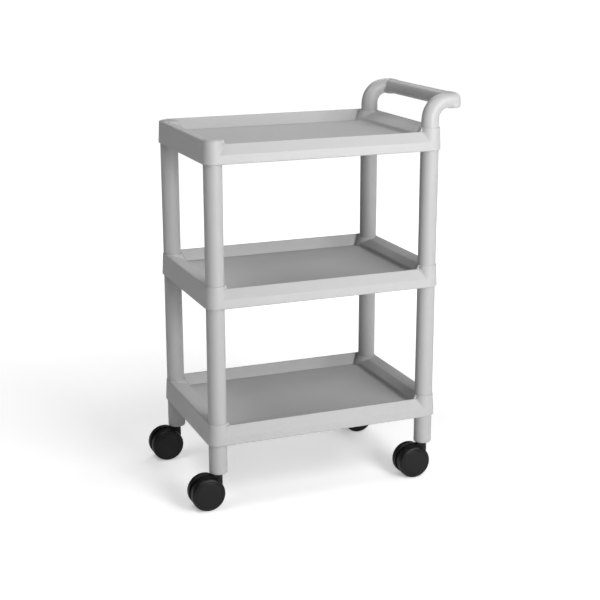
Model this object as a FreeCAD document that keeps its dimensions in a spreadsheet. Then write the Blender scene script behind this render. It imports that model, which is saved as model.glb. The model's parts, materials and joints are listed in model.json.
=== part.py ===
import FreeCAD, Part
import os
import Sketcher

# Spa trolley: three moulded trays on tubular posts, a push handle at the +X end and four twin-wheel casters.
# Frame: millimetres, +Z up, +X towards the handle end, -Y the side with the low front walls.
# The origin is on the floor, under the centre of the whole trolley.

os.makedirs("parts", exist_ok=True)
doc = FreeCAD.newDocument("SpaTrolley")

# ---------------------------------------------------------------- driving dimensions, in millimetres
DIMENSIONS = {
    # posts and shelf heights
    "post_span_x": 496.0,
    "post_span_y": 313.0,
    "post_radius": 20.0,
    "post_wall": 2.5,
    "post_fit": 0.1,
    "bottom_tray_height": 146.0,
    "shelf_pitch": 305.0,
    # tray: heights above its lower edge, reaches outwards and insets inwards from the post axes
    "tray_base_reach": 24.0,
    "tray_top_reach": 21.5,
    "tray_wall": 3.0,
    "tray_base_round": 3.0,
    "sleeve_height": 49.0,
    "sleeve_lip_round": 0.6,
    "floor_height": 26.2,
    "back_wall_height": 51.4,
    "back_inner_reach": 17.4,
    "back_floor_reach": 5.8,
    "back_outer_round": 2.8,
    "back_inner_round": 1.2,
    "back_hollow_height": 42.0,
    "back_hollow_reach": 16.4,
    "back_hollow_foot": 7.6,
    "end_top_reach": 18.5,
    "end_wall_height": 49.4,
    "end_shoulder": 47.0,
    "end_shoulder_round": 2.0,
    "ledge_bend_inset": 7.0,
    "ledge_bend_height": 44.7,
    "ledge_bend_round": 14.0,
    "ledge_drop_inset": 26.0,
    "ledge_drop_height": 35.2,
    "ledge_drop_round": 8.0,
    "end_floor_inset": 30.5,
    "ledge_foot_round": 7.0,
    "ledge_foot_run": 8.0,
    "ledge_front_run": 5.0,
    "ledge_back_run": 17.0,
    "front_crease_reach": 22.2,
    "front_crease_height": 19.7,
    "front_top_outer": 7.6,
    "front_top_inner": 4.2,
    "front_wall_height": 40.4,
    "front_top_round": 1.4,
    "front_floor_inset": 2.7,
    "front_hollow_reach": 7.0,
    "front_hollow_width": 1.7,
    "front_hollow_height": 34.2,
    "front_hollow_inset": 0.8,
    "bulge_floor_radius": 34.0,
    "bulge_top_radius": 22.6,
    "bulge_run": 5.0,
    "socket_depth": 21.0,
    "socket_headroom": 5.0,
    # push handle
    "arm_radius": 19.2,
    "handle_bend_radius": 38.5,
    "handle_rise": 73.0,
    "handle_reach": 71.0,
    "crossbar_width": 37.0,
    "crossbar_depth": 33.5,
    "crossbar_top_round": 15.5,
    "crossbar_base_round": 6.0,
    "spigot_hollow": 15.0,
    # corner caps
    "cap_radius": 17.4,
    "cap_rise": 1.6,
    "cap_round": 1.0,
    "cap_plug_radius": 15.4,
    "cap_plug_depth": 14.0,
    "cap_wall": 2.0,
    # caster legs and their stem sockets
    "leg_foot_height": 79.0,
    "leg_foot_thickness": 5.0,
    "leg_foot_round": 3.5,
    "socket_neck_radius": 10.0,
    "socket_flange_radius": 17.4,
    "socket_flange": 4.0,
    "socket_tube_radius": 10.0,
    "socket_length": 47.0,
    # caster stem
    "stem_radius": 5.5,
    "stem_length": 43.0,
    "stem_collar_radius": 8.0,
    "stem_collar": 2.0,
    "kingpin_radius": 4.0,
    "kingpin_bottom": 48.0,
    "stem_chamfer": 0.8,
    # caster hood, axle and wheels
    "caster_trail": 28.5,
    "wheel_radius": 37.5,
    "hood_half_width": 6.5,
    "hood_radius": 34.0,
    "neck_radius": 8.0,
    "neck_bottom": 69.0,
    "neck_plate_bottom": 36.0,
    "neck_plate_front": 7.5,
    "swivel_gap": 0.3,
    "kingpin_end_gap": 1.0,
    "running_fit": 0.05,
    "axle_radius": 4.0,
    "axle_half_length": 21.5,
    "wheel_gap": 0.6,
    "wheel_outer": 25.0,
    "cover_seat": 22.0,
    "wheel_disc": 3.5,
    "rim_outer": 24.3,
    "hub_radius": 9.5,
    "rim_inner_radius": 29.0,
    "cover_radius": 30.4,
    "cover_seat_radius": 30.5,
    "cover_flat_radius": 27.5,
    "cover_dish_radius": 22.0,
    "cover_dish": 0.8,
    "cover_edge": 24.2,
    "tread_inner_radius": 32.5,
    "tread_inner_round": 1.2,
    "tread_outer_round": 2.4,
}


class Size:
    """A length that carries its number together with the sheet expression it comes from."""

    def __init__(self, number, text):
        self.number = number
        self.text = text

    @staticmethod
    def of(thing):
        return thing if isinstance(thing, Size) else Size(float(thing), f"({thing})")

    def __add__(self, other):
        other = Size.of(other)
        return Size(self.number + other.number, f"({self.text} + {other.text})")

    def __sub__(self, other):
        other = Size.of(other)
        return Size(self.number - other.number, f"({self.text} - {other.text})")

    def __mul__(self, other):
        other = Size.of(other)
        return Size(self.number * other.number, f"({self.text} * {other.text})")

    def __truediv__(self, other):
        other = Size.of(other)
        return Size(self.number / other.number, f"({self.text} / {other.text})")

    def __neg__(self):
        return Size(-self.number, f"(0 - {self.text})")


class Dims:
    """Reads each driving dimension from the sheet by its alias."""

    def __getattr__(self, alias):
        return Size(float(sheet.get(alias)), "Dims." + alias)


sheet = doc.addObject("Spreadsheet::Sheet", "Dims")
for row, (alias, size) in enumerate(DIMENSIONS.items(), start=1):
    sheet.set(f"A{row}", alias.replace("_", " "))
    sheet.set(f"B{row}", str(size))
    sheet.setAlias(f"B{row}", alias)
doc.recompute()
d = Dims()


# ---------------------------------------------------------------- builders
def bind(obj, **sizes):
    """Binds properties of obj to sizes; a double underscore stands for a dot."""
    for name, size in sizes.items():
        obj.setExpression(name.replace("__", "."), Size.of(size).text)
    return obj


def place(obj, x=0, y=0, z=0):
    """Binds where the object stands."""
    return bind(obj, Placement__Base__x=x, Placement__Base__y=y, Placement__Base__z=z)


def new_sketch(body, name, role):
    """A sketch on one of the body's own origin planes."""
    sketch = body.newObject("Sketcher::SketchObject", name)
    plane = [feature for feature in body.Origin.OriginFeatures if feature.Role == role][0]
    sketch.AttachmentSupport = [(plane, "")]
    sketch.MapMode = "FlatFace"
    return sketch


def bind_constraint(sketch, constraint, size):
    number = sketch.addConstraint(constraint)
    sketch.setExpression(f"Constraints[{number}]", size.text)


def pin_point(sketch, geometry, position, across, up):
    """Holds one sketch point at bound distances from the sketch's origin."""
    for kind, size in (("DistanceX", Size.of(across)), ("DistanceY", Size.of(up))):
        constraint = Sketcher.Constraint(kind, -1, 1, geometry, position, size.number)
        bind_constraint(sketch, constraint, size)


def draw_outline(sketch, corners):
    """A closed outline of straight lines through (across, up) corners."""
    points = [FreeCAD.Vector(Size.of(across).number, Size.of(up).number, 0) for across, up in corners]
    count = len(points)
    for i in range(count):
        sketch.addGeometry(Part.LineSegment(points[i], points[(i + 1) % count]))
    for i in range(count):
        sketch.addConstraint(Sketcher.Constraint("Coincident", i, 2, (i + 1) % count, 1))
    for i, (across, up) in enumerate(corners):
        pin_point(sketch, i, 1, across, up)


def draw_circle(sketch, across, up, radius):
    centre = FreeCAD.Vector(Size.of(across).number, Size.of(up).number, 0)
    number = sketch.addGeometry(Part.Circle(centre, FreeCAD.Vector(0, 0, 1), radius.number))
    pin_point(sketch, number, 3, across, up)
    bind_constraint(sketch, Sketcher.Constraint("Radius", number, radius.number), radius)


def prism(name, role, corners, length):
    """A straight prism: an outline on an origin plane, padded evenly to both sides."""
    body = doc.addObject("PartDesign::Body", name)
    sketch = new_sketch(body, name + "Outline", role)
    draw_outline(sketch, corners)
    pad = body.newObject("PartDesign::Pad", name + "Pad")
    pad.Profile = sketch
    pad.Midplane = True
    bind(pad, Length=length)
    return body


def disc(name, across, up, radius, length):
    """A disc whose axis runs along Y, padded evenly to both sides of the XZ plane."""
    body = doc.addObject("PartDesign::Body", name)
    sketch = new_sketch(body, name + "Outline", "XZ_Plane")
    draw_circle(sketch, across, up, radius)
    pad = body.newObject("PartDesign::Pad", name + "Pad")
    pad.Profile = sketch
    pad.Midplane = True
    bind(pad, Length=length)
    return body


def turned(name, role, axis, corners):
    """A solid turned from an outline on an origin plane about one of the sketch's own axes."""
    body = doc.addObject("PartDesign::Body", name)
    sketch = new_sketch(body, name + "Outline", role)
    draw_outline(sketch, corners)
    turn = body.newObject("PartDesign::Revolution", name + "Turn")
    turn.Profile = sketch
    turn.ReferenceAxis = (sketch, [axis])
    turn.Angle = 360.0
    return body


def turned_upright(name, corners):
    """Turned about Z from (radius, height) corners."""
    return turned(name, "XZ_Plane", "V_Axis", corners)


def turned_crosswise(name, corners):
    """Turned about Y from (distance along Y, radius) corners."""
    return turned(name, "YZ_Plane", "H_Axis", corners)


def round_edges(body, is_wanted, radius):
    """Fillets those edges of the body's last feature whose middle point is wanted."""
    doc.recompute()
    tip = body.Tip
    names = []
    for i, edge in enumerate(tip.Shape.Edges, start=1):
        middle = edge.valueAt((edge.FirstParameter + edge.LastParameter) / 2)
        if is_wanted(middle):
            names.append(f"Edge{i}")
    if not names:
        raise RuntimeError(body.Name + " has no such edge to round")
    fillet = body.newObject("PartDesign::Fillet", f"{body.Name}Round{len(body.Group)}")
    fillet.Base = (tip, names)
    bind(fillet, Radius=radius)
    doc.recompute()
    return fillet


def round_long_edge(body, across, up, radius, plane):
    """Rounds the prism edge that passes through one corner of its outline."""
    wanted = (Size.of(across).number, Size.of(up).number)

    def is_wanted(point):
        reached = (point.y if plane == "YZ_Plane" else point.x, point.z)
        return abs(reached[0] - wanted[0]) < 0.05 and abs(reached[1] - wanted[1]) < 0.05

    return round_edges(body, is_wanted, radius)


def round_ring(body, ring_radius, height, radius):
    """Rounds the circular edge of an upright turned body at one radius and height."""

    def is_wanted(point):
        reached = (point.x ** 2 + point.y ** 2) ** 0.5
        return abs(reached - ring_radius.number) < 0.05 and abs(point.z - Size.of(height).number) < 0.05

    return round_edges(body, is_wanted, radius)


def fuse(name, shapes):
    joined = doc.addObject("Part::MultiFuse", name)
    joined.Shapes = shapes
    joined.Refine = True
    return joined


def cut(name, base, tool):
    result = doc.addObject("Part::Cut", name)
    result.Base = base
    result.Tool = tool
    result.Refine = True
    return result


def common(name, first, second):
    result = doc.addObject("Part::MultiCommon", name)
    result.Shapes = [first, second]
    return result


def cylinder(name, radius, height, x=0, y=0, z=0):
    return place(bind(doc.addObject("Part::Cylinder", name), Radius=radius, Height=height), x, y, z)


def box(name, length, width, height, x, y, z):
    made = doc.addObject("Part::Box", name)
    return place(bind(made, Length=length, Width=width, Height=height), x, y, z)


parts = {}


def keep(name, obj):
    """Names a finished sub-part; the label is its file's and its node's name."""
    obj.Label = name
    parts[name] = obj
    return obj


# ---------------------------------------------------------------- places that several parts share
half_x = d.post_span_x / 2
half_y = d.post_span_y / 2
centre_x = (d.caster_trail + d.wheel_radius - d.handle_reach) / 2
CORNERS = {
    "front_left": (-1, -1),
    "front_right": (1, -1),
    "back_left": (-1, 1),
    "back_right": (1, 1),
}
middle_tray_height = d.bottom_tray_height + d.shelf_pitch
top_tray_height = middle_tray_height + d.shelf_pitch
sleeve_tops = top_tray_height + d.sleeve_height
upper_web = d.sleeve_height - d.socket_depth


def post_x(side):
    return centre_x + half_x * side


def post_y(side):
    return half_y * side


# ---------------------------------------------------------------- trays
draft = (d.tray_base_reach - d.tray_top_reach) / d.sleeve_height


def outer_reach(height):
    """How far the drafted outer wall stands out from the post axes at a height above the lower edge."""
    return d.tray_base_reach - draft * height


def facing(reach, direction, half_span):
    """Turns a reach outwards from the post axes into a coordinate on the -1 or +1 side."""
    return (half_span + reach) * direction


def front_wall():
    """Upright lower band, a crease, then a band that leans in to the low top edge; hollow underneath."""
    profile = [
        (d.tray_base_reach, 0),
        (d.front_crease_reach, d.front_crease_height),
        (d.front_top_outer, d.front_wall_height),
        (d.front_top_inner, d.front_wall_height),
        (-d.front_floor_inset, d.floor_height),
        (-d.front_floor_inset, d.floor_height - d.tray_wall),
        (d.front_hollow_inset, d.floor_height - d.tray_wall),
        (d.front_hollow_reach - d.front_hollow_width, d.front_hollow_height),
        (d.front_hollow_reach, d.front_hollow_height),
        (d.front_crease_reach - d.tray_wall, d.front_crease_height - d.tray_wall / 3),
        (d.tray_base_reach - d.tray_wall, 0),
    ]
    corners = [(facing(reach, -1, half_y), up) for reach, up in profile]
    wall = prism("FrontWall", "YZ_Plane", corners, d.post_span_x)
    round_long_edge(wall, *corners[0], d.tray_base_round * 0.9, "YZ_Plane")
    round_long_edge(wall, *corners[2], d.front_top_round, "YZ_Plane")
    round_long_edge(wall, *corners[3], d.front_top_round, "YZ_Plane")
    return wall


def back_wall():
    """The tallest wall, with a rounded top and an inner face that slopes down to the floor."""
    profile = [
        (d.tray_base_reach, 0),
        (outer_reach(d.back_wall_height), d.back_wall_height),
        (d.back_inner_reach, d.back_wall_height),
        (d.back_floor_reach, d.floor_height),
        (d.back_floor_reach, d.floor_height - d.tray_wall),
        (d.back_hollow_foot, d.floor_height - d.tray_wall),
        (d.back_hollow_reach, d.back_hollow_height),
        (outer_reach(d.back_hollow_height) - d.tray_wall, d.back_hollow_height),
        (d.tray_base_reach - d.tray_wall, 0),
    ]
    corners = [(facing(reach, 1, half_y), up) for reach, up in profile]
    wall = prism("BackWall", "YZ_Plane", corners, d.post_span_x)
    round_long_edge(wall, *corners[0], d.tray_base_round * 0.9, "YZ_Plane")
    round_long_edge(wall, *corners[1], d.back_outer_round, "YZ_Plane")
    round_long_edge(wall, *corners[2], d.back_inner_round, "YZ_Plane")
    return wall


def end_wall(name, side):
    """Flat outer face, rounded shoulder, then a ledge that bends down twice and runs into the floor."""
    floor_end = -d.end_floor_inset - d.ledge_foot_run
    profile = [
        (d.tray_base_reach, 0),
        (outer_reach(d.end_shoulder), d.end_shoulder),
        (d.end_top_reach, d.end_wall_height),
        (-d.ledge_bend_inset, d.ledge_bend_height),
        (-d.ledge_drop_inset, d.ledge_drop_height),
        (-d.end_floor_inset, d.floor_height),
        (floor_end, d.floor_height),
        (floor_end, d.floor_height - d.tray_wall),
        (d.tray_wall - d.end_floor_inset, d.floor_height - d.tray_wall),
        (d.tray_wall - d.ledge_drop_inset, d.ledge_drop_height - d.tray_wall),
        (d.tray_wall / 2 - d.ledge_bend_inset, d.ledge_bend_height - d.tray_wall),
        (d.end_top_reach - d.tray_wall / 2, d.end_wall_height - d.tray_wall * 1.2),
        (outer_reach(d.end_shoulder) - d.tray_wall, d.end_shoulder - d.tray_wall),
        (d.tray_base_reach - d.tray_wall, 0),
    ]
    corners = [(facing(reach, side, half_x), up) for reach, up in profile]
    wall = prism(name, "XZ_Plane", corners, d.post_span_y)
    round_long_edge(wall, *corners[0], d.tray_base_round * 0.9, "XZ_Plane")
    round_long_edge(wall, *corners[1], d.end_shoulder_round, "XZ_Plane")
    round_long_edge(wall, *corners[2], d.end_shoulder_round * 1.5, "XZ_Plane")
    round_long_edge(wall, *corners[3], d.ledge_bend_round, "XZ_Plane")
    round_long_edge(wall, *corners[4], d.ledge_drop_round, "XZ_Plane")
    round_long_edge(wall, *corners[5], d.ledge_foot_round, "XZ_Plane")
    return wall


def ledge_run(name, side):
    """Carries an end ledge past the post axes until it meets the front and back walls."""
    fall = (d.end_wall_height - d.ledge_bend_height) / (d.end_top_reach + d.ledge_bend_inset)
    floor_end = -d.end_floor_inset - d.ledge_foot_run
    profile = [
        (0, d.ledge_bend_height + fall * d.ledge_bend_inset),
        (-d.ledge_bend_inset, d.ledge_bend_height),
        (-d.ledge_drop_inset, d.ledge_drop_height),
        (-d.end_floor_inset, d.floor_height),
        (floor_end, d.floor_height),
        (floor_end, d.floor_height - d.tray_wall),
        (0, d.floor_height - d.tray_wall),
    ]
    corners = [(facing(reach, side, half_x), up) for reach, up in profile]
    run = prism(name, "XZ_Plane", corners, d.post_span_y + d.ledge_front_run + d.ledge_back_run)
    round_long_edge(run, *corners[1], d.ledge_bend_round, "XZ_Plane")
    round_long_edge(run, *corners[2], d.ledge_drop_round, "XZ_Plane")
    round_long_edge(run, *corners[3], d.ledge_foot_round, "XZ_Plane")
    return place(run, 0, (d.ledge_back_run - d.ledge_front_run) / 2, 0)


def sleeve(corner, i, j):
    """The drafted corner sleeve that takes a post."""
    name = "Sleeve" + corner.title().replace("_", "")
    outline = [(0, 0), (d.tray_base_reach, 0), (d.tray_top_reach, d.sleeve_height), (0, d.sleeve_height)]
    made = turned_upright(name, outline)
    round_ring(made, d.tray_base_reach, 0, d.tray_base_round * 0.9)
    round_ring(made, d.tray_top_reach, d.sleeve_height, d.sleeve_lip_round)
    return place(made, half_x * i, half_y * j)


def bulges():
    """Cones that ease each sleeve into the tray floor, kept to the inside of the tray."""
    cones = []
    for corner, (i, j) in CORNERS.items():
        made = doc.addObject("Part::Cone", "Bulge" + corner.title().replace("_", ""))
        height = d.sleeve_height - d.floor_height
        bind(made, Radius1=d.bulge_floor_radius, Radius2=d.bulge_top_radius, Height=height)
        cones.append(place(made, half_x * i, half_y * j, d.floor_height))
    inside = box(
        "BulgeLimit",
        d.post_span_x + d.bulge_run * 2,
        d.post_span_y + d.bulge_run * 2,
        d.sleeve_height,
        -half_x - d.bulge_run,
        -half_y - d.bulge_run,
        0,
    )
    return common("BulgesInside", fuse("Bulges", cones), inside)


tray_floor = box(
    "TrayFloor",
    d.post_span_x - d.end_floor_inset * 2,
    d.post_span_y - d.front_floor_inset + d.back_floor_reach,
    d.tray_wall,
    d.end_floor_inset - half_x,
    d.front_floor_inset - half_y,
    d.floor_height - d.tray_wall,
)
tray_pieces = [front_wall(), back_wall(), tray_floor, bulges()]
for end_name, end_side in (("Left", -1), ("Right", 1)):
    tray_pieces.append(end_wall(end_name + "EndWall", end_side))
    tray_pieces.append(ledge_run(end_name + "LedgeRun", end_side))
tray_pieces += [sleeve(corner, i, j) for corner, (i, j) in CORNERS.items()]
tray_blank = fuse("TrayBlank", tray_pieces)
post_bore = d.post_radius + d.post_fit


def tray(name, height, capped_corners):
    """One tray: the common moulding with its post sockets, and narrower ones where a cap goes."""
    bores = []
    title = name.title().replace("_", "")
    for corner, (i, j) in CORNERS.items():
        bore_name = title + corner.title().replace("_", "")
        x, y = half_x * i, half_y * j
        capped = corner in capped_corners
        radius = d.cap_plug_radius + d.post_fit if capped else post_bore
        mouth = d.cap_radius + d.post_fit if capped else post_bore
        bores.append(cylinder(bore_name + "Base", post_bore, d.socket_depth, x, y, 0))
        bores.append(cylinder(bore_name + "Top", radius, d.socket_depth, x, y, upper_web))
        bores.append(cylinder(bore_name + "Mouth", mouth, d.socket_headroom, x, y, d.sleeve_height))
    made = cut(title, tray_blank, fuse(title + "Bores", bores))
    keep(name, place(made, centre_x, 0, height))


tray("bottom_tray", d.bottom_tray_height, ())
tray("middle_tray", middle_tray_height, ())
tray("top_tray", top_tray_height, ("front_left", "back_left"))


# ---------------------------------------------------------------- posts and corner caps
def post(name, corner, base, length):
    """A tube that stands in the sleeves of two trays."""
    i, j = CORNERS[corner]
    body = doc.addObject("PartDesign::Body", name.title().replace("_", ""))
    sketch = new_sketch(body, body.Name + "Ring", "XY_Plane")
    draw_circle(sketch, 0, 0, d.post_radius)
    draw_circle(sketch, 0, 0, d.post_radius - d.post_wall)
    pad = body.newObject("PartDesign::Pad", body.Name + "Pad")
    pad.Profile = sketch
    bind(pad, Length=length)
    keep(name, place(body, post_x(i), post_y(j), base))


def corner_cap(corner):
    """A low disc over a hollow plug that closes an unused post socket."""
    i, j = CORNERS[corner]
    outline = [
        (0, -d.cap_wall),
        (d.cap_plug_radius - d.cap_wall, -d.cap_wall),
        (d.cap_plug_radius - d.cap_wall, -d.cap_plug_depth),
        (d.cap_plug_radius, -d.cap_plug_depth),
        (d.cap_plug_radius, 0),
        (d.cap_radius, 0),
        (d.cap_radius, d.cap_rise),
        (0, d.cap_rise),
    ]
    body = turned_upright(f"CornerCap{corner.title().replace('_', '')}", outline)
    round_ring(body, d.cap_radius, d.cap_rise, d.cap_round)
    keep(f"corner_cap_{corner}", place(body, post_x(i), post_y(j), sleeve_tops))


post_length = d.shelf_pitch + d.socket_depth - upper_web
for corner in CORNERS:
    post(f"lower_post_{corner}", corner, d.bottom_tray_height + upper_web, post_length)
    post(f"upper_post_{corner}", corner, middle_tray_height + upper_web, post_length)
for corner in ("front_left", "back_left"):
    corner_cap(corner)


# ---------------------------------------------------------------- push handle
def ellipse_section(name, half_thickness, turn, x, z):
    """One cross-section of a handle arm, tipped by turn degrees from the upright arm to the level one."""
    made = doc.addObject("Part::Ellipse", name)
    bind(made, MajorRadius=d.arm_radius, MinorRadius=half_thickness)
    made.Placement = FreeCAD.Placement(
        FreeCAD.Vector(),
        FreeCAD.Rotation(FreeCAD.Vector(0, 1, 0), turn) * FreeCAD.Rotation(FreeCAD.Vector(0, 0, 1), 90),
    )
    return place(made, x, 0, z)


def handle_arm(name, side):
    """An upright arm that bends through a quarter turn into the crossbar, getting thinner on the way."""
    thin = d.crossbar_depth / 2
    bend_base = d.handle_rise - thin - d.handle_bend_radius
    sections = [
        ellipse_section(name + "Foot", d.arm_radius, 0, 0, 0),
        ellipse_section(name + "Start", d.arm_radius, 0, 0, bend_base),
    ]
    # cosine and sine of each step of the bend, from upright to level
    steps = ((22.5, 0.92388, 0.38268), (45, 0.70711, 0.70711), (67.5, 0.38268, 0.92388), (90, 0, 1))
    for turn, cosine, sine in steps:
        half_thickness = d.arm_radius - (d.arm_radius - thin) * (turn / 90)
        across = d.handle_bend_radius * (1 - cosine)
        up = bend_base + d.handle_bend_radius * sine
        sections.append(ellipse_section(f"{name}Turn{int(turn)}", half_thickness, turn, across, up))
    elbow = d.handle_reach - d.crossbar_width / 2
    sections.append(ellipse_section(name + "End", thin, 90, elbow, bend_base + d.handle_bend_radius))
    loft = doc.addObject("Part::Loft", name)
    loft.Sections = sections
    loft.Solid = True
    return place(loft, 0, half_y * side)


def handle_crossbar():
    """The level bar, well rounded above and tighter below."""
    inner = d.handle_reach - d.crossbar_width
    bottom = d.handle_rise - d.crossbar_depth
    outer, top = d.handle_reach, d.handle_rise
    corners = [(inner, bottom), (outer, bottom), (outer, top), (inner, top)]
    bar = prism("HandleCrossbar", "XZ_Plane", corners, d.post_span_y)
    for side in (inner, outer):
        round_long_edge(bar, side, bottom, d.crossbar_base_round, "XZ_Plane")
        round_long_edge(bar, side, top, d.crossbar_top_round, "XZ_Plane")
    return bar


def handle_elbow(name, side):
    """The crossbar's section turned about an upright axis, so the bar ends in a round corner."""
    radius = d.crossbar_width / 2
    bottom = d.handle_rise - d.crossbar_depth
    outline = [(0, bottom), (radius, bottom), (radius, d.handle_rise), (0, d.handle_rise)]
    elbow = turned_upright(name, outline)
    round_ring(elbow, radius, bottom, d.crossbar_base_round)
    round_ring(elbow, radius, d.handle_rise, d.crossbar_top_round)
    return place(elbow, d.handle_reach - radius, half_y * side)


handle_pieces = [handle_crossbar()]
spigot_holes = []
for arm_name, arm_side in (("Front", -1), ("Back", 1)):
    handle_pieces.append(handle_arm(f"Handle{arm_name}Arm", arm_side))
    handle_pieces.append(handle_elbow(f"Handle{arm_name}Elbow", arm_side))
    depth = d.socket_depth
    along = half_y * arm_side
    handle_pieces.append(cylinder(f"Handle{arm_name}Spigot", d.post_radius, depth, 0, along, -depth))
    spigot_holes.append(cylinder(f"Handle{arm_name}Hollow", d.spigot_hollow, depth * 1.5, 0, along, -depth))
handle = cut("PushHandle", fuse("HandleSolid", handle_pieces), fuse("HandleHollows", spigot_holes))
keep("push_handle", place(handle, post_x(1), 0, sleeve_tops))


# ---------------------------------------------------------------- caster legs, sockets and stems
def caster_mounting(corner):
    """The leg under the bottom tray, the socket in its foot and the stem that the caster swivels on."""
    i, j = CORNERS[corner]
    title = corner.title().replace("_", "")
    x, y, foot = post_x(i), post_y(j), d.leg_foot_height
    bore = d.post_radius - d.post_wall
    leg_length = d.bottom_tray_height + d.socket_depth - foot
    leg = turned_upright(
        "Leg" + title,
        [
            (d.socket_neck_radius, 0),
            (d.post_radius, 0),
            (d.post_radius, leg_length),
            (bore, leg_length),
            (bore, d.leg_foot_thickness),
            (d.socket_neck_radius, d.leg_foot_thickness),
        ],
    )
    round_ring(leg, d.post_radius, 0, d.leg_foot_round)
    keep(f"caster_leg_{corner}", place(leg, x, y, foot))

    flange_top = d.leg_foot_thickness + d.socket_flange
    socket = turned_upright(
        "Socket" + title,
        [
            (0, d.stem_length),
            (d.stem_radius, d.stem_length),
            (d.stem_radius, 0),
            (d.socket_neck_radius, 0),
            (d.socket_neck_radius, d.leg_foot_thickness),
            (d.socket_flange_radius, d.leg_foot_thickness),
            (d.socket_flange_radius, flange_top),
            (d.socket_tube_radius, flange_top),
            (d.socket_tube_radius, d.socket_length),
            (0, d.socket_length),
        ],
    )
    keep(f"caster_socket_{corner}", place(socket, x, y, foot))

    pin_end = foot - d.kingpin_bottom
    stem = turned_upright(
        "Stem" + title,
        [
            (0, -pin_end),
            (d.kingpin_radius - d.stem_chamfer, -pin_end),
            (d.kingpin_radius, d.stem_chamfer - pin_end),
            (d.kingpin_radius, -d.stem_collar),
            (d.stem_collar_radius, -d.stem_collar),
            (d.stem_collar_radius, 0),
            (d.stem_radius, 0),
            (d.stem_radius, d.stem_length - d.stem_chamfer),
            (d.stem_radius - d.stem_chamfer, d.stem_length),
            (0, d.stem_length),
        ],
    )
    keep(f"caster_stem_{corner}", place(stem, x, y, foot))


# ---------------------------------------------------------------- casters
def caster_hood(corner):
    """The slim hood between the two wheels, with the swivel barrel on top of its leading edge."""
    i, j = CORNERS[corner]
    title = corner.title().replace("_", "")
    axle_x, axle_z = -d.caster_trail, d.wheel_radius
    neck_top = d.leg_foot_height - d.stem_collar - d.swivel_gap
    width = d.hood_half_width * 2
    shell = disc("HoodDisc" + title, axle_x, axle_z, d.hood_radius, width)
    plate = prism(
        "HoodPlate" + title,
        "XZ_Plane",
        [
            (axle_x, d.neck_plate_bottom),
            (d.neck_plate_front - d.neck_plate_front / 2, d.neck_plate_bottom),
            (d.neck_plate_front, d.neck_bottom - d.neck_plate_front * 2),
            (d.neck_plate_front, neck_top),
            (-d.neck_plate_front, neck_top),
            (axle_x, axle_z + d.hood_radius),
        ],
        width,
    )
    barrel = cylinder("HoodBarrel" + title, d.neck_radius, neck_top - d.neck_bottom, 0, 0, d.neck_bottom)
    solid = fuse("HoodSolid" + title, [shell, plate, barrel])
    pin_hole_bottom = d.kingpin_bottom - d.kingpin_end_gap
    pin_hole = cylinder(
        "KingpinHole" + title,
        d.kingpin_radius + d.running_fit,
        neck_top - pin_hole_bottom,
        0,
        0,
        pin_hole_bottom,
    )
    axle_hole = disc("AxleHole" + title, axle_x, axle_z, d.axle_radius, width * 2)
    hood = cut("Hood" + title, solid, fuse("HoodHoles" + title, [pin_hole, axle_hole]))
    keep(f"caster_hood_{corner}", place(hood, post_x(i), post_y(j)))
    axle = disc("Axle" + title, 0, 0, d.axle_radius, d.axle_half_length * 2)
    keep(f"caster_axle_{corner}", place(axle, post_x(i) + axle_x, post_y(j), axle_z))


def caster_wheel(corner, side_name, side):
    """One wheel of the pair: core, tread ring and outer hub cover."""
    i, j = CORNERS[corner]
    title = side_name.title() + corner.title().replace("_", "")
    x, y, z = post_x(i) - d.caster_trail, post_y(j), d.wheel_radius
    inner = d.hood_half_width + d.wheel_gap
    disc_inner = d.cover_seat - d.wheel_disc
    core = [
        (inner, d.axle_radius + d.running_fit),
        (d.cover_seat, d.axle_radius + d.running_fit),
        (d.cover_seat, d.cover_seat_radius),
        (d.rim_outer, d.cover_seat_radius),
        (d.rim_outer, d.tread_inner_radius),
        (inner, d.tread_inner_radius),
        (inner, d.rim_inner_radius),
        (disc_inner, d.rim_inner_radius),
        (disc_inner, d.hub_radius),
        (inner, d.hub_radius),
    ]
    tread = [
        (inner, d.tread_inner_radius),
        (d.rim_outer, d.tread_inner_radius),
        (d.rim_outer, d.wheel_radius - d.tread_outer_round),
        (d.rim_outer - d.tread_outer_round / 3, d.wheel_radius - d.tread_outer_round / 3),
        (d.rim_outer - d.tread_outer_round, d.wheel_radius),
        (inner + d.tread_inner_round, d.wheel_radius),
        (inner, d.wheel_radius - d.tread_inner_round),
    ]
    dish = d.wheel_outer - d.cover_dish
    cover = [
        (d.cover_seat, 0),
        (d.cover_seat, d.cover_radius),
        (d.cover_edge, d.cover_radius),
        (d.wheel_outer, d.cover_flat_radius),
        (d.wheel_outer, d.cover_dish_radius),
        (dish, d.cover_dish_radius - d.cover_dish),
        (dish, 0),
    ]
    outlines = {"wheel_core": core, "wheel_tread": tread, "hub_cover": cover}
    for node, outline in outlines.items():
        mirrored = [(across * side, radius) for across, radius in outline]
        body = turned_crosswise(node.title().replace("_", "") + title, mirrored)
        keep(f"{node}_{corner}_{side_name}", place(body, x, y, z))


for corner in CORNERS:
    caster_mounting(corner)
    caster_hood(corner)
    caster_wheel(corner, "near", -1)
    caster_wheel(corner, "far", 1)

# ---------------------------------------------------------------- checks and export
doc.recompute()
for obj in doc.Objects:
    if "Invalid" in obj.State or "Error" in obj.State:
        raise RuntimeError(f"{obj.Name} did not build: {obj.State}")
for name, obj in parts.items():
    shape = obj.Shape
    if shape.isNull() or not shape.isValid() or len(shape.Solids) != 1:
        raise RuntimeError(f"{name} is not one valid solid")
    shape.exportStep(f"parts/{name}.step")
print(f"{len(parts)} parts exported")
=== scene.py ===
import json
import math

import bmesh
import bpy
from mathutils import Matrix, Vector

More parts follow.
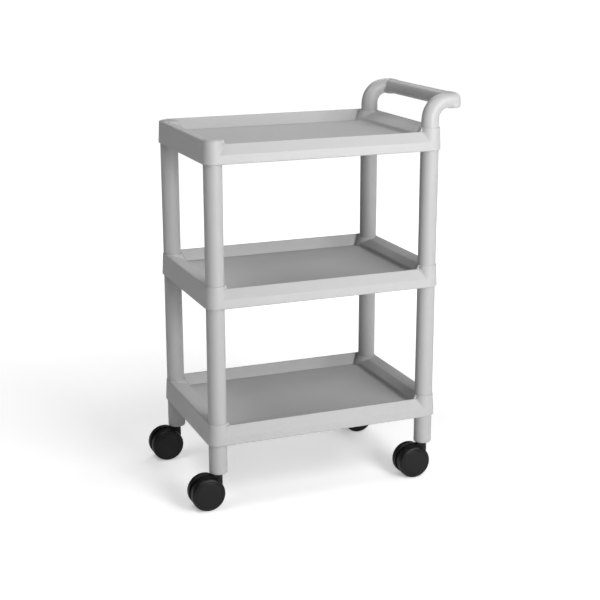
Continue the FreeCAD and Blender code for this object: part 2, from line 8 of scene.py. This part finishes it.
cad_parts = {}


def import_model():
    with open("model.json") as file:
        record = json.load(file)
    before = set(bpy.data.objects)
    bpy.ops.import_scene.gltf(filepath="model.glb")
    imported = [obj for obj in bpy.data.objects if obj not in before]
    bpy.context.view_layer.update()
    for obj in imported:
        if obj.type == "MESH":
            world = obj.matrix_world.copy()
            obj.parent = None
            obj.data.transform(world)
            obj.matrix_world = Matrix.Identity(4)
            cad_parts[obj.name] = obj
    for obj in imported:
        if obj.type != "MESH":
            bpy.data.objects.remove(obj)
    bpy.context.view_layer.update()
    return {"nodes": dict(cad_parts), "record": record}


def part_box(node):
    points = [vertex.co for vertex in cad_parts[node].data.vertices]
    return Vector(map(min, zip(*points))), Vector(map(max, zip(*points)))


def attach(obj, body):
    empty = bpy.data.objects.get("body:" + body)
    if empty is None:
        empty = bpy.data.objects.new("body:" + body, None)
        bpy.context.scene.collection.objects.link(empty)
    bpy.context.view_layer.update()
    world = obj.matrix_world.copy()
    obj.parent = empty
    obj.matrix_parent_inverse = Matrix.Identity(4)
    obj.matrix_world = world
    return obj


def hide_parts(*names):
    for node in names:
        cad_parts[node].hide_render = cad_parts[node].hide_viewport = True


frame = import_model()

NODES = frame["nodes"]
MM = 0.001
CORNERS = ("front_left", "front_right", "back_left", "back_right")
TRAYS = ("bottom_tray", "middle_tray", "top_tray")


# ------------------------------------------------------------------ material helpers
def new_material(name):
    """A node material, its tree and its shader, ready for inputs."""
    material = bpy.data.materials.new(name)
    material.use_nodes = True
    tree = material.node_tree
    shader = next(node for node in tree.nodes if node.type == "BSDF_PRINCIPLED")
    return material, tree, shader


def add_node(tree, kind, **inputs):
    """A node with plain values set on named inputs or, failing that, on its own properties."""
    node = tree.nodes.new(kind)
    for name, value in inputs.items():
        socket = name.replace("_", " ")
        if socket in node.inputs:
            node.inputs[socket].default_value = value
        else:
            setattr(node, name, value)
    return node


def noise(tree, where, scale, detail, roughness=0.55):
    """Noise fixed to the object."""
    node = add_node(tree, "ShaderNodeTexNoise", Scale=scale, Detail=detail, Roughness=roughness)
    tree.links.new(where.outputs["Object"], node.inputs["Vector"])
    return node.outputs["Fac"]


def remap(tree, source, low, high, from_low=0.25, from_high=0.75):
    """Stretches from_low..from_high to low..high, and holds the ends."""
    node = add_node(
        tree, "ShaderNodeMapRange", From_Min=from_low, From_Max=from_high, To_Min=low, To_Max=high
    )
    tree.links.new(source, node.inputs["Value"])
    return node.outputs["Result"]


def times(tree, first, second):
    """The product of two outputs."""
    node = add_node(tree, "ShaderNodeMath", operation="MULTIPLY")
    tree.links.new(first, node.inputs[0])
    tree.links.new(second, node.inputs[1])
    return node.outputs["Value"]


def mix_colours(tree, share, first, second):
    """A colour mix by an output. First is an output or a plain colour, and second is a plain colour."""
    node = add_node(tree, "ShaderNodeMix", data_type="RGBA")
    factor, start, end = node.inputs[0], node.inputs[6], node.inputs[7]
    tree.links.new(share, factor)
    if isinstance(first, bpy.types.NodeSocket):
        tree.links.new(first, start)
    else:
        start.default_value = [*first, 1]
    end.default_value = [*second, 1]
    return node.outputs[2]


EDGE_RADIUS = 0.8 * MM
EDGE_SAMPLES = 4
# how well the rounded and plain normals agree on a sharp edge and on a smooth face
EDGE_AGREES, FACE_AGREES = 0.75, 0.97
# wear of an edge outside the patches and in them, and the noise levels where a patch begins and is full
WEAR_LEAST, WEAR_MOST, PATCH_START, PATCH_FULL = 0.35, 1.0, 0.4, 0.62
CLOUD_SCALE, SMUDGE_SCALE = 70.0, 110.0
SHINIER, DULLER = -0.02, 0.04


def edge_mask(tree, rounded):
    """1 on sharp edges and 0 on smooth faces, from how far the rounded normal leans off the plain one."""
    geometry = add_node(tree, "ShaderNodeNewGeometry")
    agree = add_node(tree, "ShaderNodeVectorMath", operation="DOT_PRODUCT")
    tree.links.new(rounded, agree.inputs[0])
    tree.links.new(geometry.outputs["Normal"], agree.inputs[1])
    return remap(tree, agree.outputs["Value"], 1.0, 0.0, EDGE_AGREES, FACE_AGREES)


def worn_edges(tree, colour, edge_colour, rounded, smudges):
    """Mixes a paler colour into the edges, in patches."""
    patches = remap(tree, smudges, WEAR_LEAST, WEAR_MOST, PATCH_START, PATCH_FULL)
    return mix_colours(tree, times(tree, edge_mask(tree, rounded), patches), colour, edge_colour)


def moulded_plastic(
    name, colour, edge_colour, roughness, grain_scale, grain_height,
    mottle=0.012, gloss=0.45, metallic=0.0, eased=True,
):
    """Faint mottle, fine grain, uneven sheen and, where eased, rounded and paler edges."""
    material, tree, shader = new_material(name)
    where = add_node(tree, "ShaderNodeTexCoord")
    cloudy = noise(tree, where, CLOUD_SCALE, 3.0)
    fine = noise(tree, where, grain_scale, 3.0)
    smudges = noise(tree, where, SMUDGE_SCALE, 5.0, 0.6)

    darker = [level * (1 - mottle) for level in colour]
    paler = [level * (1 + mottle) for level in colour]
    shown = mix_colours(tree, cloudy, darker, paler)
    bump = add_node(tree, "ShaderNodeBump", Strength=1.0, Distance=grain_height)
    tree.links.new(fine, bump.inputs["Height"])
    if eased:
        rounding = add_node(tree, "ShaderNodeBevel", samples=EDGE_SAMPLES, Radius=EDGE_RADIUS)
        tree.links.new(rounding.outputs["Normal"], bump.inputs["Normal"])
        shown = worn_edges(tree, shown, edge_colour, rounding.outputs["Normal"], smudges)
    tree.links.new(shown, shader.inputs["Base Color"])
    tree.links.new(bump.outputs["Normal"], shader.inputs["Normal"])
    sheen = remap(tree, smudges, roughness + SHINIER, roughness + DULLER)
    tree.links.new(sheen, shader.inputs["Roughness"])
    shader.inputs["Specular IOR Level"].default_value = gloss
    shader.inputs["Metallic"].default_value = metallic
    return material


# ------------------------------------------------------------------ materials
def grey(level):
    """A neutral grey."""
    return (level, level, level)


BLACK = (0.004, 0.004, 0.0043)
STEEL = (0.55, 0.55, 0.56)
TRAY_FINISH = {
    "colour": grey(0.44), "edge_colour": grey(0.5), "roughness": 0.5, "grain_scale": 1400,
    "grain_height": 0.06 * MM,
}

materials = {
    "tray_plastic": moulded_plastic("tray_plastic_moulded", **TRAY_FINISH),
    "post_plastic": moulded_plastic(
        "post_plastic_extruded", colour=grey(0.42), edge_colour=grey(0.48), roughness=0.45,
        grain_scale=900, grain_height=0.03 * MM,
    ),
    "handle_plastic": moulded_plastic(
        "handle_plastic_smooth", colour=grey(0.44), edge_colour=grey(0.5), roughness=0.42,
        grain_scale=1100, grain_height=0.03 * MM,
    ),
    "caster_plastic": moulded_plastic(
        "caster_plastic_black", colour=BLACK, edge_colour=grey(0.03), roughness=0.33,
        grain_scale=1500, grain_height=0.04 * MM, mottle=0.15, gloss=0.32,
    ),
    "tread_rubber": moulded_plastic(
        "tread_rubber_black", colour=BLACK, edge_colour=grey(0.02), roughness=0.42,
        grain_scale=1200, grain_height=0.08 * MM, mottle=0.15, gloss=0.32,
    ),
    "stem_steel": moulded_plastic(
        "stem_steel_plated", colour=STEEL, edge_colour=grey(0.7), roughness=0.3,
        grain_scale=2000, grain_height=0.03 * MM, metallic=1.0,
    ),
}

# a join between two faces of a tray, so it has no edges of its own
join_material = moulded_plastic("tray_plastic_joins", **TRAY_FINISH, eased=False)

for part in frame["record"]["subparts"]:
    target = NODES[part["node"]]
    target.data.materials.clear()
    target.data.materials.append(materials[part["material_slot"]])


# ------------------------------------------------------------------ mesh helpers
def add_object(name, mesh, slot, body="frame", smooth_angle=35.0):
    """Links a mesh as a piece of the object that rides on one body."""
    made = bpy.data.objects.new(name, mesh)
    bpy.context.collection.objects.link(made)
    mesh.shade_smooth()
    mesh.set_sharp_from_angle(angle=math.radians(smooth_angle))
    mesh.materials.clear()
    mesh.materials.append(materials[slot])
    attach(made, body)
    return made


def mesh_from(name, points, faces):
    """A mesh whose faces all look outward."""
    mesh = bpy.data.meshes.new(name)
    mesh.from_pydata(points, [], faces)
    mesh.validate()
    work = bmesh.new()
    work.from_mesh(mesh)
    bmesh.ops.recalc_face_normals(work, faces=work.faces)
    work.to_mesh(mesh)
    work.free()
    return mesh


def gather(name, solids):
    """One mesh from several separate closed solids."""
    points, faces = [], []
    for solid_points, solid_faces in solids:
        start = len(points)
        points += solid_points
        faces += [tuple(start + i for i in face) for face in solid_faces]
    return mesh_from(name, points, faces)


def lathe(name, centre, profile, turns=128):
    """A closed solid turned about a line along Y through centre, from (along Y, radius) points."""
    points, faces, rings = [], [], []
    for along, radius in profile:
        count = turns if radius else 1
        rings.append([len(points) + step for step in range(count)])
        for step in range(count):
            angle = 2 * math.pi * step / turns
            points.append((
                centre[0] + radius * math.cos(angle),
                centre[1] + along,
                centre[2] + radius * math.sin(angle),
            ))
    for first, second in zip(rings, rings[1:] + rings[:1]):
        if len(first) == 1 and len(second) == 1:
            continue
        for step in range(turns):
            after = (step + 1) % turns
            if len(first) == 1:
                faces.append((first[0], second[after], second[step]))
            elif len(second) == 1:
                faces.append((first[step], first[after], second[0]))
            else:
                faces.append((first[step], first[after], second[after], second[step]))
    return mesh_from(name, points, faces)


def arc(centre, radius, start, end, steps):
    """Points of an arc in the plane of a profile, between two angles in degrees."""
    angles = [math.radians(start + (end - start) * i / steps) for i in range(steps + 1)]
    return [(centre[0] + radius * math.cos(a), centre[1] + radius * math.sin(a)) for a in angles]


def box_axis(low, high):
    """Where the upright centre line of a box stands, as (x, y)."""
    return ((low[0] + high[0]) / 2, (low[1] + high[1]) / 2)


post_axes = {corner: box_axis(*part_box(f"caster_leg_{corner}")) for corner in CORNERS}

# ------------------------------------------------------------------ push handle: one eased moulding
MERGE_DISTANCE = 0.02 * MM
VOXEL = 1.2 * MM
EASE_FACTOR, EASE_ROUNDS = 0.5, 14
BAR_HALF_WIDTH, BAR_HALF_DEPTH = 18.2 * MM, 16.2 * MM
BAR_AXIS_INSET, BAR_AXIS_DROP = 18.5 * MM, 16.7 * MM
ARM_HALF_WIDTH = 20.0 * MM
BAR_TAPER = 18.0 * MM


def even_copy(node, voxel):
    """The node's own shape as an even mesh."""
    mesh = NODES[node].data.copy()
    work = bmesh.new()
    work.from_mesh(mesh)
    bmesh.ops.remove_doubles(work, verts=work.verts, dist=MERGE_DISTANCE)
    work.to_mesh(mesh)
    work.free()
    rough = bpy.data.objects.new("rough_shape", mesh)
    bpy.context.collection.objects.link(rough)
    remesh = rough.modifiers.new("even_faces", "REMESH")
    remesh.mode = "VOXEL"
    remesh.voxel_size = voxel
    even = bpy.data.meshes.new_from_object(rough.evaluated_get(bpy.context.evaluated_depsgraph_get()))
    bpy.data.objects.remove(rough)
    return even


def round_bar(mesh, top, outer, arm_y):
    """Rounds the crossbar between the arms to an oval rod."""
    centre = Vector((outer - BAR_AXIS_INSET, top - BAR_AXIS_DROP))
    for vertex in mesh.vertices:
        inward = (arm_y - ARM_HALF_WIDTH - abs(vertex.co.y)) / BAR_TAPER
        share = max(0.0, min(1.0, inward))
        share = share * share * (3 - 2 * share)
        section = Vector((vertex.co.x, vertex.co.z))
        out = section - centre
        stretch = 1 / math.hypot(out.x / BAR_HALF_WIDTH, out.y / BAR_HALF_DEPTH)
        vertex.co.x, vertex.co.z = section.lerp(centre + out * stretch, share)


handle_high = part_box("push_handle")[1]
handle_mesh = even_copy("push_handle", VOXEL)
round_bar(handle_mesh, handle_high[2], handle_high[0], post_axes["back_right"][1])
handle = add_object("push_handle_moulding", handle_mesh, "handle_plastic", smooth_angle=180.0)
ease = handle.modifiers.new("ease_creases", "SMOOTH")
ease.factor = EASE_FACTOR
ease.iterations = EASE_ROUNDS
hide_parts("push_handle")

# ------------------------------------------------------------------ trays: blends at the front sleeves
# a sleeve's radius at the base of its tray, and how much it shrinks per unit of height
SLEEVE_BASE, SLEEVE_LEAN = 24.0 * MM, 2.5 / 49.0
# the leaning band, from its crease to its top edge: reach in front of the post axis, height over the base
CREASE_REACH, CREASE_HEIGHT = 22.2 * MM, 19.7 * MM
TOP_REACH, TOP_HEIGHT = 7.6 * MM, 40.4 * MM
# how far a blend runs out from the corner, at the crease and at the top
BLEND_LOW, BLEND_HIGH = 1.0 * MM, 7.0 * MM
BLEND_STEPS, BLEND_CURVE = 20, 14
# the buried corner of each ring of a blend, from the corner that the ring covers
ROOT_SCALE, ROOT_SHIFT = 0.9, Vector((0.6 * MM, 0.8 * MM))


def between(low, high, share):
    """The value a share of the way from low to high."""
    return low + (high - low) * share


def blend_ring(share):
    """One level of a blend: a curve from the sleeve to the band, closed by a point inside both."""
    height = between(CREASE_HEIGHT, TOP_HEIGHT, share)
    out = between(CREASE_REACH, TOP_REACH, share)
    run = between(BLEND_LOW, BLEND_HIGH, share)
    radius = SLEEVE_BASE - SLEEVE_LEAN * height
    meet = Vector((math.sqrt(radius ** 2 - out ** 2), -out))
    angle = math.atan2(meet.y, meet.x) - run / radius
    on_sleeve = Vector((radius * math.cos(angle), radius * math.sin(angle)))
    on_band = meet + Vector((run, 0))
    # where the sleeve's tangent meets the band, so that the curve leaves both smoothly
    lean = (meet.y - on_sleeve.y) / math.cos(angle)
    crossing = Vector((on_sleeve.x - lean * math.sin(angle), meet.y))
    ring = []
    for k in range(BLEND_CURVE + 1):
        t = k / BLEND_CURVE
        ring.append(on_sleeve * (1 - t) ** 2 + crossing * 2 * t * (1 - t) + on_band * t ** 2)
    ring.append(meet * ROOT_SCALE + ROOT_SHIFT)
    return ring, height


def front_blend(axis, base, side):
    """A hollow-curved fillet where the leaning front band runs into a round sleeve."""
    points, faces = [], []
    count = BLEND_CURVE + 2
    for i in range(BLEND_STEPS + 1):
        ring, height = blend_ring(i / BLEND_STEPS)
        points += [(axis[0] + side * point.x, axis[1] + point.y, base + height) for point in ring]
    for i in range(BLEND_STEPS):
        for k in range(count):
            after = (k + 1) % count
            faces.append((i * count + k, i * count + after, (i + 1) * count + after, (i + 1) * count + k))
    faces.append(tuple(range(count)))
    faces.append(tuple(BLEND_STEPS * count + k for k in range(count)))
    return points, faces


# ------------------------------------------------------------------ trays: ribs
RIB = 2.4 * MM
RIB_LOW, RIB_HIGH = 9.0 * MM, 23.6 * MM
RIB_PITCH_X, RIB_PITCH_Y = 80.0 * MM, 76.0 * MM
WALL = 2.8 * MM
# clearances of the ribs from the walls, at the foot and at the top
FOOT_GAP, TOP_GAP = 0.4 * MM, 1.2 * MM
# the front end of a rib follows the leaning band
BAND_FOOT_GAP = 0.2 * MM
BAND_KNEE_RUN, BAND_KNEE_HEIGHT = 4.6 * MM, 19.2 * MM
BAND_TOP_RUN = 7.0 * MM
RIB_EDGE = 0.5 * MM


def prism_points(outline, thickness, centre, plane):
    """A flat rib: an outline in the YZ or XZ plane given thickness about centre."""
    points = []
    for side in (-0.5, 0.5):
        for across, up in outline:
            if plane == "YZ":
                points.append((centre + side * thickness, across, up))
            else:
                points.append((across, centre + side * thickness, up))
    count = len(outline)
    faces = [tuple(range(count)), tuple(range(count, 2 * count))]
    faces += [(i, (i + 1) % count, count + (i + 1) % count, count + i) for i in range(count)]
    return points, faces


def tray_ribs(tray):
    """Ribs under the floor, between the walls."""
    low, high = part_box(tray)
    left, front, base = low
    right, back = high[0], high[1]
    across = [
        (front + WALL + BAND_FOOT_GAP, base + RIB_LOW),
        (front + BAND_KNEE_RUN, base + BAND_KNEE_HEIGHT),
        (front + BAND_TOP_RUN, base + RIB_HIGH),
        (back - WALL - TOP_GAP, base + RIB_HIGH),
        (back - WALL - FOOT_GAP, base + RIB_LOW),
    ]
    along = [
        (left + WALL + FOOT_GAP, base + RIB_LOW),
        (right - WALL - FOOT_GAP, base + RIB_LOW),
        (right - WALL - TOP_GAP, base + RIB_HIGH),
        (left + WALL + TOP_GAP, base + RIB_HIGH),
    ]
    centre_x, centre_y = box_axis(low, high)
    solids = [prism_points(across, RIB, centre_x + RIB_PITCH_X * i, "YZ") for i in (-2, -1, 0, 1, 2)]
    solids += [prism_points(along, RIB, centre_y + RIB_PITCH_Y * j, "XZ") for j in (-1, 0, 1)]
    return gather(f"{tray}_ribs", solids)


for tray in TRAYS:
    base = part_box(tray)[0][2]
    blends = [
        front_blend(post_axes["front_left"], base, 1),
        front_blend(post_axes["front_right"], base, -1),
    ]
    joins = add_object(f"{tray}_front_blends", gather(f"{tray}_front_blends", blends), "tray_plastic")
    joins.data.materials[0] = join_material
    ribs = add_object(f"{tray}_ribs", tray_ribs(tray), "tray_plastic")
    soften = ribs.modifiers.new("rib_edges", "BEVEL")
    soften.width = RIB_EDGE
    soften.segments = 2


# ------------------------------------------------------------------ casters: smooth treads and hub covers
def to_metres(profile, side):
    """A profile in millimetres, turned to face the outer side of its wheel."""
    return [(along * side * MM, radius * MM) for along, radius in profile]


def tread_profile(side):
    """Rolling face, an eased inner edge and a wide rounded shoulder on the outer side."""
    points = [(7.1, 32.5)]
    points += arc((8.6, 36.0), 1.5, 180, 90, 5)
    points += [(11.5, 37.5), (11.8, 37.25), (12.3, 37.25), (12.6, 37.5)]
    points += [(17.0, 37.5), (18.6, 37.46)]
    points += [(20.3, 37.2), (21.7, 36.65), (22.8, 35.8), (23.7, 34.6), (24.2, 33.5), (24.3, 32.5)]
    return to_metres(points, side)


def cover_profile(side):
    """A thin disc with a rounded rim, a fine ring groove and a very slightly crowned face."""
    points = [(22.0, 0.0), (22.0, 30.3)]
    points += arc((23.6, 29.3), 1.0, 90, 15, 5)
    points += [(24.72, 28.9), (24.8, 28.0), (24.72, 27.75), (24.72, 27.35), (24.82, 27.1)]
    points += [(24.9, 20.0), (24.96, 10.0), (24.98, 0.0)]
    return to_metres(points, side)


for corner in CORNERS:
    for side_name, side in (("near", -1), ("far", 1)):
        wheel = f"{corner}_{side_name}"
        low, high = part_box(f"wheel_tread_{wheel}")
        centre = ((low[0] + high[0]) / 2, post_axes[corner][1], (low[2] + high[2]) / 2)
        tread_mesh = lathe(f"tread_{wheel}", centre, tread_profile(side))
        tread = add_object(f"tread_{wheel}", tread_mesh, "tread_rubber", f"wheel_{wheel}")
        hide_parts(f"wheel_tread_{wheel}")
        cover_mesh = lathe(f"cover_{wheel}", centre, cover_profile(side))
        cover = add_object(f"cover_{wheel}", cover_mesh, "caster_plastic", f"wheel_{wheel}")
        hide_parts(f"hub_cover_{wheel}")

# ------------------------------------------------------------------ floor, light and camera
# glow of the floor by distance from the trolley: what it casts on the trolley, and what the camera sees
FLOOR_HALF = 60.0
FLOOR_GREY = 0.86
CAST_NEAR, CAST_FAR, CAST_START, CAST_END = 0.1, 0.28, 0.9, 3.0
SEEN_NEAR, SEEN_FAR, SEEN_START, SEEN_END = 0.38, 1.0, 0.5, 2.4
SKY_STRENGTH, SKY_SEEN = 0.04, 1.0

# name, place, height that it is aimed at, size and power
LIGHTS = (
    ("key_light", (0.8, -1.5, 1.7), 0.6, 1.0, 13.5),
    ("front_light", (0.5, -2.1, 1.0), 0.6, 0.9, 32),
    ("left_fill", (-0.5, -1.9, 2.3), 0.5, 1.2, 6),
    ("left_top_light", (-1.2, -0.2, 2.8), 0.5, 1.2, 22),
    ("back_light", (0.6, 1.6, 2.2), 0.5, 1.2, 10),
    ("side_light", (1.8, 0.5, 1.8), 0.5, 1.2, 7),
    ("rear_light", (2.2, 1.9, 0.8), 0.5, 1.2, 8),
)


def floor():
    """A pale plane that grows whiter away from the trolley."""
    half = FLOOR_HALF
    mesh = bpy.data.meshes.new("studio_floor")
    mesh.from_pydata(
        [(-half, -half, 0), (half, -half, 0), (half, half, 0), (-half, half, 0)], [], [(0, 1, 2, 3)]
    )
    made = bpy.data.objects.new("studio_floor", mesh)
    bpy.context.collection.objects.link(made)
    material, tree, shader = new_material("studio_floor_pale")
    shader.inputs["Base Color"].default_value = (*grey(FLOOR_GREY), 1)
    shader.inputs["Roughness"].default_value = 0.9
    shader.inputs["Emission Color"].default_value = (1, 1, 1, 1)
    where = add_node(tree, "ShaderNodeTexCoord")
    distance = add_node(tree, "ShaderNodeVectorMath", operation="LENGTH")
    tree.links.new(where.outputs["Object"], distance.inputs[0])
    cast = remap(tree, distance.outputs["Value"], CAST_NEAR, CAST_FAR, CAST_START, CAST_END)
    seen = remap(tree, distance.outputs["Value"], SEEN_NEAR, SEEN_FAR, SEEN_START, SEEN_END)
    rays = add_node(tree, "ShaderNodeLightPath")
    glow = add_node(tree, "ShaderNodeMix", data_type="FLOAT")
    tree.links.new(rays.outputs["Is Camera Ray"], glow.inputs[0])
    tree.links.new(cast, glow.inputs[2])
    tree.links.new(seen, glow.inputs[3])
    tree.links.new(glow.outputs[0], shader.inputs["Emission Strength"])
    mesh.materials.append(material)


def area_light(name, position, aim_height, size, power):
    """A round soft light aimed at a point on the trolley's middle line."""
    data = bpy.data.lights.new(name, "AREA")
    data.shape = "DISK"
    data.size = size
    data.energy = power
    made = bpy.data.objects.new(name, data)
    bpy.context.collection.objects.link(made)
    made.location = position
    aim = Vector((0, 0, aim_height)) - Vector(position)
    made.rotation_euler = aim.to_track_quat("-Z", "Y").to_euler()


def world(strength, seen):
    """A dim even sky that is as pale as the floor behind the trolley."""
    made = bpy.data.worlds.new("studio_world")
    made.use_nodes = True
    tree = made.node_tree
    background = tree.nodes["Background"]
    background.inputs["Color"].default_value = (1, 1, 1, 1)
    rays = add_node(tree, "ShaderNodeLightPath")
    level = remap(tree, rays.outputs["Is Camera Ray"], strength, seen, 0.0, 1.0)
    tree.links.new(level, background.inputs["Strength"])
    bpy.context.scene.world = made


def camera(position, yaw, pitch, roll, lens):
    """Looks from position; yaw turns from +Y towards +X, pitch looks down, roll turns the frame."""
    forward = Vector((math.sin(yaw) * math.cos(pitch), math.cos(yaw) * math.cos(pitch), -math.sin(pitch)))
    level = Vector((math.cos(yaw), -math.sin(yaw), 0))
    upward = level.cross(forward)
    right = level * math.cos(roll) + upward * math.sin(roll)
    up = upward * math.cos(roll) - level * math.sin(roll)
    data = bpy.data.cameras.new("camera")
    data.lens = lens
    data.sensor_width = 36.0
    made = bpy.data.objects.new("camera", data)
    bpy.context.collection.objects.link(made)
    made.matrix_world = Matrix.Translation(position) @ Matrix((right, up, -forward)).transposed().to_4x4()
    bpy.context.scene.camera = made


floor()
world(SKY_STRENGTH, SKY_SEEN)
for light in LIGHTS:
    area_light(*light)
camera(position=(-1.0657, -2.6703, 1.1977), yaw=0.3811, pitch=0.2701, roll=-0.0011, lens=78.22)
bpy.context.scene.view_settings.view_transform = "Standard"
